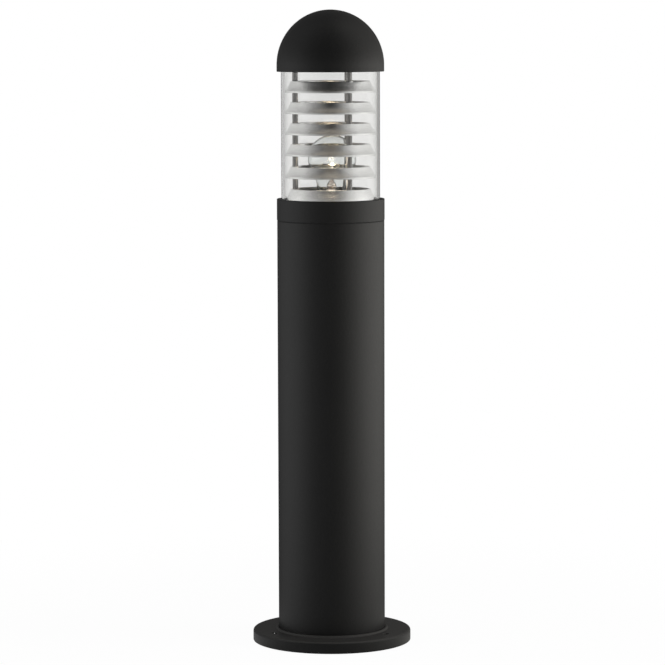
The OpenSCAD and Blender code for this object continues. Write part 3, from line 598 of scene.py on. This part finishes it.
# the lit lamp: its filament, its glow as the diffuser's front sends it back, and the glints that it
# puts on rods and rims
def lampLights():
    warm, lower, upper = (1.0, 0.9, 0.74), (0.001, -0.0345, 0.5205), (0.001, -0.0345, 0.5455)
    onRod = {"power": 0.005, "colour": warm, "radius": 0.006}
    onRim = {"power": 0.0042, "colour": warm, "facing": -90}
    lights = {
        "filamentLight": {"power": 0.06, "colour": (1.0, 0.8, 0.55), "place": (0.0017, -0.009, 0.5385),
                          "radius": 0.0016},
        "lampGlow": {"power": 0.0013, "colour": (1.0, 0.88, 0.74), "place": (0.001, -0.075, 0.553),
                     "size": (0.034, 0.09), "facing": 90},
        "upperGlint": {**onRod, "place": upper},
        "lowerGlint": {**onRod, "place": lower},
        "upperRimGlint": {**onRim, "place": upper, "size": (0.03, 0.014)},
        "lowerRimGlint": {**onRim, "place": lower, "size": (0.036, 0.014)},
    }
    for name, look in lights.items():
        light = bpy.data.lights.new(name, "POINT" if "radius" in look else "AREA")
        light.energy, light.color = look["power"], look["colour"]
        if "radius" in look:
            light.shadow_soft_size = look["radius"]
        else:
            light.shape, light.size, light.size_y = "RECTANGLE", *look["size"]
        holder = placed(name, light)
        facing = Matrix.Rotation(math.radians(look.get("facing", 0)), 4, "X")
        holder.matrix_world = Matrix.Translation(look["place"]) @ facing
        holder.visible_camera = False
        holder.visible_transmission = not name.endswith("Glint")  # only the metal beside them sees these


studioWorld()
studioFloor()
softBoxes()
lampLights()
print("camera, floor and light set")


# Base

past = 2  # how far a cutter stands out of what it cuts


def makeBase():
    base = {"radius": 89, "thick": 13, "edge": 2.6, "foot": 1.0, "rimOut": 62.7, "rimIn": 60.3, "rimTop": 15.1,
            "rimEdges": (0.7, 0.5, 0.4), "rimLean": (0.9, -0.35), "spigotOut": 56.7, "spigotIn": 52.7,
            "spigotTop": 38, "spigotEdge": 0.6, "turn": -2.7, "fixingCircle": 72, "fixing": 3.0, "sink": 1.0,
            "portCircle": 53, "portClear": 4.8, "screwHole": 2.6, "counterbore": 5.0, "counterboreDeep": 6,
            "cableHole": 11, "recess": 14.3, "recessDeep": 3, "pocketOut": 45, "pocketIn": 18.3, "pocketDeep": 6,
            "rib": 6}
    top, turn, half = base["thick"], base["turn"], base["rib"] / 2
    leanFoot, leanTop = base["rimLean"]
    body = spun("base", rounded([
        (0, 0), (base["radius"], 0, base["foot"]), (base["radius"], top, base["edge"]),
        (base["rimOut"] + leanFoot, top, base["rimEdges"][0]),
        (base["rimOut"] + leanTop, base["rimTop"], base["rimEdges"][1]),
        (base["rimIn"], base["rimTop"], base["rimEdges"][2]), (base["rimIn"], top), (base["spigotOut"], top),
        (base["spigotOut"], base["spigotTop"], base["spigotEdge"]),
        (base["spigotIn"], base["spigotTop"], base["spigotEdge"]), (base["spigotIn"], top), (0, top)], 6), 216)
    mouth = base["fixing"] + base["sink"]
    drill = spun("drill", [(0, -past), (base["fixing"], -past), (base["fixing"], top - 0.5), (mouth, top + 0.5),
                           (mouth, top + past), (0, top + past)], 40)
    floorOfPort = top + 0.02
    port = spun("port", [
        (0, -past), (base["counterbore"], -past), (base["counterbore"], base["counterboreDeep"]),
        (base["screwHole"], base["counterboreDeep"]), (base["screwHole"], floorOfPort),
        (base["portClear"], floorOfPort), (base["portClear"], 60), (0, 60)], 40)
    centre = spun("centre", [
        (0, -past), (base["recess"], -past), (base["recess"], base["recessDeep"]),
        (base["cableHole"], base["recessDeep"]), (base["cableHole"], top + past), (0, top + past)], 64)
    pocket = spun("pocket", [(base["pocketIn"], -past), (base["pocketOut"], -past),
                             (base["pocketOut"], base["pocketDeep"]), (base["pocketIn"], base["pocketDeep"])], 96)
    ribs = trio(block((0, -half, -3), (60, half, 9)), 0, turn + 30)
    drills = paired(trio(drill, base["fixingCircle"], turn + 90), trio(port, base["portCircle"], turn + 30))
    body = combined(body, [combined(pocket, ribs), centre, *drills])
    show("baseFlange", body, finish["base"], "powder_coat", "base_flange")


def makeTube():
    tube = {"radius": 60, "bore": 57, "foot": 13, "top": 475, "edge": 0.3, "portCircle": 53, "port": 4.5,
            "web": 0.6, "webInset": 1.5, "way": 2.1, "turn": 27.3}
    foot, top = tube["foot"], tube["top"]
    body = spun("tube", rounded([(tube["bore"], foot), (tube["radius"], foot, tube["edge"]),
                                 (tube["radius"], top, tube["edge"]), (tube["bore"], top)], 3), 216)
    wide = tube["port"] * tube["web"]
    web = block((0, -wide, foot), (tube["radius"] - tube["portCircle"] - tube["webInset"], wide, top))
    ports, webs, ways = [trio(mesh, tube["portCircle"], tube["turn"]) for mesh in (
        bar(tube["port"], foot, top, 40), web, bar(tube["way"], foot - 1, top + 1, 24))]
    body = combined(combined(body, paired(ports, webs), "UNION"), ways)
    show("postTube", body, finish["tube"], "powder_coat", "post_tube")


makeBase()
makeTube()
print("base and tube made")


# Head

head = {"rodStart": 61, "rodCircle": 39.5, "rodWay": 2.1, "capEdge": 641.2, "collarFoot": 475.8,
        "collarTop": 499.5, "seat": 495.0, "boss": 661.2}


def atRods(mesh):
    return trio(mesh, head["rodCircle"], head["rodStart"])


def makeCollar():
    collar = {"radius": 60.3, "bore": 58.4, "lip": 55.6, "wayRadius": 33.5, "flange": 4, "sleeveIn": 47.0,
              "sleeveOut": 49.6, "sleeveFoot": 482.55, "footEdge": 0.45, "topEdge": 0.6, "innerEdge": 0.4,
              "sleeveEdge": 0.3}
    under = head["seat"] - collar["flange"]
    body = spun("collar", rounded([
        (collar["bore"], head["collarFoot"]), (collar["radius"], head["collarFoot"], collar["footEdge"]),
        (collar["radius"], head["collarTop"], collar["topEdge"]),
        (collar["lip"], head["collarTop"], collar["innerEdge"]), (collar["lip"], head["seat"]),
        (collar["wayRadius"], head["seat"], collar["innerEdge"]),
        (collar["wayRadius"], under, collar["innerEdge"]), (collar["sleeveIn"], under),
        (collar["sleeveIn"], collar["sleeveFoot"], collar["sleeveEdge"]),
        (collar["sleeveOut"], collar["sleeveFoot"], collar["sleeveEdge"]), (collar["sleeveOut"], under),
        (collar["bore"], under)], 5), 216)
    holes = atRods(bar(head["rodWay"], under - 1, head["seat"] + 1, 32))
    show("collarRing", combined(body, holes), finish["cast"], "powder_coat", "collar")


def makeCap():
    cap = {"radius": 60, "height": 68.8, "skirt": 7.3, "wall": 3, "shoulder": 51.7, "shoulderFoot": 648.2,
           "shoulderTop": 651.2, "boss": 5.0, "bossTop": 693, "bossEdge": 0.4, "rodEnd": 678.2,
           "footEdges": (0.3, 0.5), "steps": 48}
    spring, rise = head["capEdge"] + cap["skirt"], cap["height"] - cap["skirt"]

    def dome(inset, first):
        points = []
        for k in range(cap["steps"] + 1):
            t = first + (math.pi / 2 - first) * k / cap["steps"]
            points.append(((cap["radius"] - inset) * max(math.cos(t), 0) if k < cap["steps"] else 0,
                           spring + (rise - inset) * math.sin(t)))
        return points

    start = math.asin((cap["shoulderTop"] - spring) / (rise - cap["wall"]))
    inner = dome(cap["wall"], start)
    body = spun("cap", rounded(
        [(cap["radius"] - cap["wall"], head["capEdge"], cap["footEdges"][0]),
         (cap["radius"], head["capEdge"], cap["footEdges"][1])]
        + dome(0, 0) + inner[::-1]
        + [(cap["shoulder"], cap["shoulderTop"]), (cap["shoulder"], cap["shoulderFoot"]),
           (cap["radius"] - cap["wall"], cap["shoulderFoot"])]), 216)
    boss = spun("boss", rounded([(0, head["boss"]), (cap["boss"], head["boss"], cap["bossEdge"]),
                                 (cap["boss"], cap["bossTop"]), (0, cap["bossTop"])]), 40)
    inside = spun("inside", dome(cap["wall"] * 0.6, 0) + [(0, spring)], 96)  # the bosses end within the wall
    bosses = [combined(mesh, [inside], "INTERSECT") for mesh in atRods(boss)]
    holes = atRods(bar(head["rodWay"], head["boss"] - 1, cap["rodEnd"], 24))
    show("domeCap", combined(combined(body, bosses, "UNION"), holes), finish["cast"], "powder_coat", "dome_cap")


def makeDiffuser():
    tube = {"outside": 55.2, "inside": 52.2, "foot": 496.0, "top": 647.2, "outerEdge": 0.4, "innerEdge": 0.2}
    body = spun("diffuser", rounded([
        (tube["inside"], tube["foot"], tube["innerEdge"]), (tube["outside"], tube["foot"], tube["outerEdge"]),
        (tube["outside"], tube["top"], tube["outerEdge"]),
        (tube["inside"], tube["top"], tube["innerEdge"])], 3), 288)
    show("clearDiffuser", body, finish["diffuser"], "clear_diffuser", "diffuser").visible_shadow = False


makeCollar()
makeCap()
makeDiffuser()
print("collar, cap and diffuser made")


# Louvres and their rods

louvre = {"count": 5, "topOut": 44.3, "out": 50.8, "thick": 1.3, "high": 11.0, "lip": 1.6, "firstTop": 630.8,
          "upperPitch": 23.4, "lowerPitch": 24.9, "upperSteps": 3, "edge": 0.5, "lipEdge": 0.3,
          "bends": (4.5, 3.5), "crown": -0.55, "bulge": 4.6, "lug": 5.2, "around": 192}


def levels():
    return [louvre["firstTop"] - louvre["upperPitch"] * min(i, louvre["upperSteps"])
            - louvre["lowerPitch"] * max(i - louvre["upperSteps"], 0) for i in range(louvre["count"] + 1)]


def withLugs(body, top):  # the lugs' faces stay a hair off the ring's, so that the union is clean
    lug, thick = louvre["lug"], louvre["thick"] - 0.06
    reach = louvre["topOut"] - louvre["thick"] / 2 - head["rodCircle"] + 0.2
    disc = bar(lug, top - thick - 0.03, top - 0.03, 40)
    arm = block((0, -lug + 0.01, top - thick - 0.02), (reach, lug - 0.01, top - 0.04))
    holes = atRods(bar(head["rodWay"], top - 4, top + past, 28))
    return combined(combined(body, paired(atRods(disc), atRods(arm)), "UNION"), holes)


def stackTree():  # rings from the top one down, three pitches of one width and then of the other
    graph, given = geometryTree("louvreStack", {
        "Count": ("Int", 5), "Upper Pitch": ("Float", 0.02), "Lower Pitch": ("Float", 0.02),
        "Upper Steps": ("Int", 3)})
    line = graph.add("GeometryNodeMeshLine", None, {"Count": given["Count"], "Offset": (0, 0, 0)})
    index = graph.add("GeometryNodeInputIndex")
    upper = graph.maths("MINIMUM", index, given["Upper Steps"])
    drop = upper * given["Upper Pitch"] + (index - upper) * given["Lower Pitch"]
    points = graph.add("GeometryNodeSetPosition", None, {
        "Geometry": line, "Offset": graph.add("ShaderNodeCombineXYZ", None, {2: -drop})})
    stack = graph.add("GeometryNodeInstanceOnPoints", None, {"Points": points, "Instance": given["Geometry"]})
    return closeTree(graph, stack, given)


def rimOutline(top):  # the two edges at the top of a ring, from the inside out
    return [(louvre["topOut"] - louvre["thick"], top, louvre["edge"]), (louvre["topOut"], top, louvre["edge"])]


def makeLouvres():
    top, thick, steps = louvre["firstTop"], louvre["thick"], 10
    out, bend, foot = louvre["out"], top - louvre["high"], top - louvre["high"] - louvre["lip"]
    flare = out - louvre["topOut"]
    flank = [(louvre["topOut"] + flare * k / steps + louvre["crown"] * math.sin(math.pi * k / steps),
              top - louvre["high"] * k / steps) for k in range(1, steps)]
    ring = spun("ring", rounded(
        rimOutline(top) + flank
        + [(out, bend, louvre["bends"][0]), (out, foot, louvre["lipEdge"]),
           (out - thick, foot, louvre["lipEdge"]), (out - thick, bend, louvre["bends"][1])]
        + [(r - thick, z) for r, z in flank[::-1]], 5), louvre["around"])
    stack = runTree(stackTree(), withLugs(ring, top), {
        "Count": louvre["count"], "Upper Pitch": louvre["upperPitch"] * mm,
        "Lower Pitch": louvre["lowerPitch"] * mm, "Upper Steps": louvre["upperSteps"],
        "Material": finish["louvre"]})
    show("louvreStack", stack, finish["louvre"], "satin_aluminium",
         *["louvre_%d" % (i + 1) for i in range(louvre["count"])])


def makeSkirt():  # the lowest ring, which stands on the collar
    top, thick, steps = levels()[-1], louvre["thick"], 16
    high = top - head["seat"]
    flank = [(louvre["topOut"] + louvre["bulge"] * math.sin(math.pi / 2 * k / steps), top - high * k / steps)
             for k in range(1, steps + 1)]
    skirt = spun("skirt", rounded(
        rimOutline(top) + flank + [(r - thick, z) for r, z in flank[::-1]], 5), louvre["around"])
    show("skirtLouvre", withLugs(skirt, top), finish["louvre"], "satin_aluminium", "louvre_6")


def circleTree():  # copies of a small part on a circle about the post's axis
    graph, given = geometryTree("copiesOnCircle", {
        "Count": ("Int", 3), "Radius": ("Float", 0.04), "Start": ("Float", 0.0)})
    index = graph.add("GeometryNodeInputIndex")
    angle = given["Start"] + index * (2 * math.pi) / given["Count"]
    x, y = [graph.maths(name, angle) * given["Radius"] for name in ("COSINE", "SINE")]
    line = graph.add("GeometryNodeMeshLine", None, {"Count": given["Count"], "Offset": (0, 0, 0)})
    points = graph.add("GeometryNodeSetPosition", None, {
        "Geometry": line, "Offset": graph.add("ShaderNodeCombineXYZ", None, {0: x, 1: y})})
    turned = graph.add("FunctionNodeEulerToRotation", None, {
        0: graph.add("ShaderNodeCombineXYZ", None, {2: angle})})
    copies = graph.add("GeometryNodeInstanceOnPoints", None, {
        "Points": points, "Instance": given["Geometry"], "Rotation": turned})
    return closeTree(graph, copies, given)


def makeSleeves():
    sleeve = {"radius": 3.2, "edge": 0.35, "slack": 0.03, "around": 36}
    tops = levels()
    spans = [(tops[0], head["boss"])]
    spans += [(tops[i + 1], tops[i] - louvre["thick"]) for i in range(len(tops) - 1)]
    spans.append((head["seat"], tops[-1] - louvre["thick"]))
    made = []
    for low, high in spans:
        low, high = low + sleeve["slack"], high - sleeve["slack"]
        made.append(spun("sleeve", rounded([
            (head["rodWay"], low), (sleeve["radius"], low, sleeve["edge"]),
            (sleeve["radius"], high, sleeve["edge"]), (head["rodWay"], high)], 3), sleeve["around"]))
    sleeves = runTree(circleTree(), joined("sleeves", made), {
        "Count": 3, "Radius": head["rodCircle"] * mm, "Start": math.radians(head["rodStart"]),
        "Material": finish["sleeve"]})
    show("spacerSleeves", sleeves, finish["sleeve"], "grey_sleeve", *["sleeves_%d" % i for i in range(1, 8)])


makeLouvres()
makeSkirt()
makeSleeves()
print("louvres and sleeves made")


# Lamp

lamp = {"foot": 468.0, "lean": 1.2, "length": 103, "bulb": 27, "neck": 13, "taper": 0.2, "fillet": 14,
        "glass": 0.7, "filletSteps": 16, "bulbSteps": 56, "shell": 13.1, "shellTop": 29}
onLamp = Matrix.Translation((0, 0, lamp["foot"] * mm)) @ Matrix.Rotation(math.radians(lamp["lean"]), 4, "Y")


def bulbHalf(inset):  # neck, fillet and ball, from the screw cap up to the pole
    d = Vector((lamp["taper"], 1)).normalized()
    n = Vector((d.y, -d.x))
    ball = Vector((0, lamp["length"] - lamp["bulb"]))
    foot = Vector((lamp["neck"], lamp["shellTop"]))
    c0 = foot + lamp["fillet"] * n - ball
    reach = lamp["bulb"] + lamp["fillet"]
    b = c0.dot(d)
    c = c0 + ball + (-b - math.sqrt(b * b - c0.dot(c0) + reach * reach)) * d  # the fillet's middle
    toBulb = math.atan2(c.y - ball.y, c.x - ball.x)
    start = math.atan2(-n.y, -n.x) % (2 * math.pi)
    points = [tuple(foot - inset * n)]
    steps, r = lamp["filletSteps"], lamp["fillet"] + inset
    for k in range(steps + 1):
        a = start + (math.pi + toBulb - start) * k / steps
        points.append((c.x + r * math.cos(a), c.y + r * math.sin(a)))
    steps, r = lamp["bulbSteps"], lamp["bulb"] - inset
    for k in range(1, steps + 1):
        a = toBulb + (math.pi / 2 - toBulb) * k / steps
        points.append((r * math.cos(a) if k < steps else 0, ball.y + r * math.sin(a)))
    return points


def makeBulb():
    footR, low, high = lamp["shell"] - 0.8, lamp["shellTop"] - 5, lamp["shellTop"] - 1
    glass = spun("glass", [(footR, low), (footR, high)] + bulbHalf(0) + bulbHalf(lamp["glass"])[::-1]
                 + [(footR - lamp["glass"], high), (footR - lamp["glass"], low)], 128, angle=60)
    show("lampGlass", moved(glass, onLamp), finish["bulb"], "bulb_glass", "lamp_glass").visible_shadow = False


def makeScrewCap():  # its wall rolls in and out along one helix
    cap = {"pitch": 3.6, "deep": 0.42, "low": 8.5, "high": 25.5, "fade": 1.5, "wall": 0.4, "foot": 6.8,
           "step": 0.3, "plain": (8.0, 26.5), "bead": 0.3, "beadLow": 27.8, "beadHigh": 28.7}
    r = lamp["shell"]

    def roll(r, z, a):
        if not cap["low"] < z < cap["high"]:
            return 0
        fade = min((z - cap["low"]) / cap["fade"], (cap["high"] - z) / cap["fade"], 1)
        return cap["deep"] * fade * (math.cos(z / cap["pitch"] * 2 * math.pi - a) - 1)

    low, high = cap["plain"]
    zs = [cap["foot"] + cap["step"] * k for k in range(69)]
    outer = [(r - cap["wall"], cap["foot"]), (r, low)] + [(r, z) for z in zs if low + 0.2 < z < high - 0.3] + [
        (r, high), (r + cap["bead"], cap["beadLow"]), (r + cap["bead"], cap["beadHigh"]),
        (r - cap["bead"], cap["beadHigh"])]
    inner = [(w - cap["wall"], z) for w, z in outer[1:-4]][::-1]
    shell = spun("shell", [(r - 2.5, 6)] + outer + inner + [(r - 2.9, 6.5)], 72, roll, 50)
    show("lampScrewCap", moved(shell, onLamp), finish["capAluminium"], "cap_aluminium", "lamp_shell")


def makeStem():
    stem = {"radius": 5.5, "press": 46, "pressed": 53.5, "pinchTop": 54, "half": 1.8, "arbor": 1.3,
            "ballLevel": 66.5, "ball": 2.1,
            "flare": ((11.0, 24), (11.5, 24), (11.5, 24.8), (9.0, 25.6), (7.3, 26.9), (6.2, 28.6), (5.65, 30.5),
                      (5.5, 33)),
            "bore": ((0, 45.2), (2.6, 44.9), (3.9, 44.1), (4.5, 42.6), (4.5, 31), (4.65, 29.4), (5.4, 27.7),
                     (6.8, 26.1), (8.7, 24.9), (10.4, 24.2))}

    def flatten(r, z, a):  # the tube's end is pressed flat across X
        share = min(max((z - stem["press"]) / (stem["pressed"] - stem["press"]), 0), 1)
        if share == 0 or r < 2:
            return 0
        share *= share * (3 - 2 * share)
        half, power = r + (stem["half"] - r) * share, 2 + 4 * share
        return ((abs(math.cos(a)) / half) ** power + (abs(math.sin(a)) / r) ** power) ** (-1 / power) - r

    outer = [*stem["flare"], *[(stem["radius"], stem["press"] + 0.6 * k) for k in range(17)],
             (stem["radius"] - 0.3, stem["pinchTop"]), (stem["arbor"], stem["pinchTop"] + 0.05),
             (stem["arbor"], stem["ballLevel"] - 1.65)]
    steps = 12
    for k in range(1, steps + 1):  # the glass ball at its end
        a = math.radians(-52 + 142 * k / steps)
        r = stem["ball"] * math.cos(a) if k < steps else 0
        outer.append((r, stem["ballLevel"] + stem["ball"] * math.sin(a)))
    mesh = spun("stem", outer + [*stem["bore"]], 64, flatten, 50)
    show("lampStem", moved(mesh, onLamp), finish["stem"], "bulb_glass", "lamp_stem").visible_shadow = False


def filamentTree():  # a fine coil that runs round an arc
    graph, given = geometryTree("coiledFilament", {
        "Arc Radius": ("Float", 0.011), "Start": ("Float", 0.6), "Sweep": ("Float", 5.0),
        "Coil Radius": ("Float", 0.0003), "Turns": ("Float", 110.0), "Wire Radius": ("Float", 0.00008)})
    line = graph.add("GeometryNodeCurvePrimitiveLine")
    line = graph.add("GeometryNodeResampleCurve", None, {"Curve": line, "Count": 1300})
    along = graph.add("GeometryNodeSplineParameter")
    angle = given["Start"] + along * given["Sweep"]
    spin = along * given["Turns"] * (2 * math.pi)
    radius = given["Arc Radius"] + given["Coil Radius"] * graph.maths("COSINE", spin)
    place = graph.add("ShaderNodeCombineXYZ", None, {
        0: radius * graph.maths("COSINE", angle), 1: radius * graph.maths("SINE", angle),
        2: given["Coil Radius"] * graph.maths("SINE", spin)})
    coil = graph.add("GeometryNodeSetPosition", None, {"Geometry": line, "Position": place})
    profile = graph.add("GeometryNodeCurvePrimitiveCircle", None, {
        "Resolution": 5, "Radius": given["Wire Radius"]})
    tube = graph.add("GeometryNodeCurveToMesh", None, {
        "Curve": coil, "Profile Curve": profile, "Fill Caps": True})
    return closeTree(graph, tube, given)


def makeFilament():
    filament = {"radius": 11, "level": 70, "gap": 76, "coil": 0.26, "turns": 120.0, "wire": 0.08}
    half = math.radians(filament["gap"] / 2)
    coil = runTree(filamentTree(), bpy.data.meshes.new("empty"), {
        "Arc Radius": filament["radius"] * mm, "Start": half, "Sweep": 2 * math.pi - 2 * half,
        "Coil Radius": filament["coil"] * mm, "Turns": filament["turns"], "Wire Radius": filament["wire"] * mm,
        "Material": finish["filament"]})
    coil.shade_smooth()
    moved(coil, onLamp @ Matrix.Translation((0, 0, filament["level"] * mm)))
    show("coiledFilament", coil, finish["filament"], "filament", "lamp_filament")


makeBulb()
makeScrewCap()
makeStem()
makeFilament()
print("lamp made")


# Finishes of the nodes that keep their own shape

keptShapes = {
    "rubber": ("collar_gasket", "lower_seal", "upper_seal", "cable_grommet"),
    "zinc": ("head_plate", "head_plate_screws", "base_screws", "gear_bracket", "bracket_screws",
             "lampholder_screws", "block_screw", "cord_clamp", "clamp_screws", "tie_rods", "rod_washers",
             "rod_nuts"),
    "brass": ("lampholder_shell", "lampholder_contact", "terminal_screws", "earth_tag", "earth_screw"),
    "porcelain": ("lampholder_body",),
    "plastic": ("terminal_block",),
    "insulator": ("lamp_insulator",),
    "solder": ("lamp_contact",),
    "wire": ("lamp_wires",),
    "live": ("live_lead",),
    "neutral": ("neutral_lead",),
    "earth": ("earth_lead",),
}
for name, nodes in keptShapes.items():
    for node in nodes:
        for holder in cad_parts[node].material_slots:
            holder.material = finish[name]
